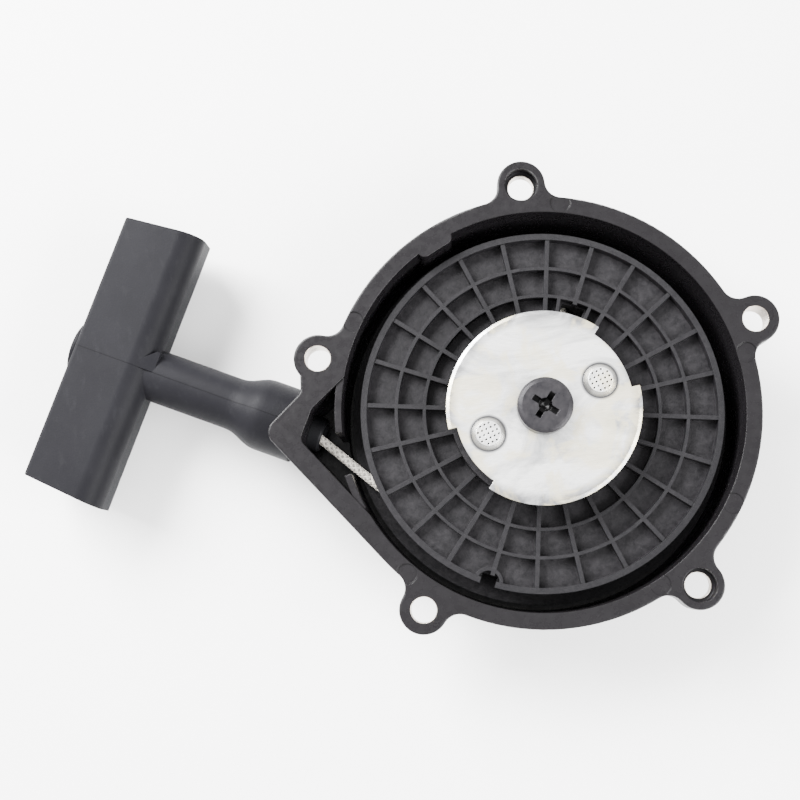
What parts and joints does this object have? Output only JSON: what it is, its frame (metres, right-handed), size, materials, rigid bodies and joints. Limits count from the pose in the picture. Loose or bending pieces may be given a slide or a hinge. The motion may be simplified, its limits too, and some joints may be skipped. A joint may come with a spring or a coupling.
{
  "type": "recoil starter",
  "caption": "Hand pull recoil starter: round flanged housing, ribbed rope pulley with pawls, recoil spring, friction plate, and a pull rope with a T handle.",
  "frame": {"origin": "centre of the bolt circle on the mounting face", "axes": "+Z out of the open side, towards the engine's crankshaft; +Y through the bolt hole opposite the closed part of the rim; the rope is pulled out towards -X and a little +Y"},
  "size_m": [0.225, 0.1382, 0.041],
  "materials": {
    "black_paint": "semi-gloss black paint on cast aluminium",
    "black_plastic": "satin",
    "pulley_nylon": "matte glass filled nylon",
    "spring_steel": "oiled spring steel",
    "zinc_steel": "bright zinc plate",
    "black_steel": "black oxide",
    "bronze": "sintered bronze",
    "rope_braid": "braided cord",
    "handle_plastic": "charcoal moulded plastic"
  },
  "bodies": {
    "housing": {"housing": "black_paint", "mounting_flange": "black_paint", "rope_eyelet": "black_plastic", "recoil_spring": "spring_steel", "spring_cover": "zinc_steel", "cover_screws": "zinc_steel", "rope_lead": "rope_braid", "thrust_washer": "zinc_steel", "friction_spring": "spring_steel", "centre_screw": "black_steel"},
    "handle": {"handle_grip": "handle_plastic", "handle_washer": "zinc_steel", "handle_knot": "rope_braid", "handle_cap": "handle_plastic", "rope_draw": "rope_braid"},
    "pulley": {"pulley": "pulley_nylon", "pulley_hub": "pulley_nylon", "pulley_bush": "bronze", "rope_coil": "rope_braid", "rope_pulley_knot": "rope_braid", "pawl_pins": "spring_steel", "pawl_spring_a": "spring_steel", "pawl_spring_b": "spring_steel"},
    "friction_plate": {"friction_plate": "zinc_steel"},
    "pawl_a": {"pawl_a": "black_steel"},
    "pawl_b": {"pawl_b": "black_steel"}
  },
  "joints": [
    {"name": "handle_pull", "type": "slide", "parent": "housing", "child": "handle", "axis": [-0.9063, 0.4226, 0], "range_m": [0, 0.85]},
    {"name": "pulley_spin", "type": "hinge", "parent": "housing", "child": "pulley", "pos_m": [0, 0, 0], "axis": [0, 0, 1], "range_deg": [-1142, 0], "stiffness_Nm_per_rad": 0.02, "springref_deg": 458.37, "deforming": ["recoil_spring"]},
    {"name": "plate_drag", "type": "hinge", "parent": "pulley", "child": "friction_plate", "pos_m": [0, 0, 0], "axis": [0, 0, 1], "range_deg": [0, 10], "stiffness_Nm_per_rad": 0.005, "springref_deg": -11.46},
    {"name": "pawl_a_swing", "type": "hinge", "parent": "pulley", "child": "pawl_a", "pos_m": [0.00587, 0.01807, 0], "axis": [0, 0, 1], "range_deg": [0, 18]},
    {"name": "pawl_b_swing", "type": "hinge", "parent": "pulley", "child": "pawl_b", "pos_m": [-0.00587, -0.01807, 0], "axis": [0, 0, 1], "range_deg": [0, 18]}
  ],
  "couplings": [
    {"joint": "pulley_spin", "follows": "handle_pull", "rad_per_m": -23.419},
    {"joint": "pawl_a_swing", "follows": "plate_drag", "ratio": 1.8},
    {"joint": "pawl_b_swing", "follows": "plate_drag", "ratio": 1.8}
  ]
}
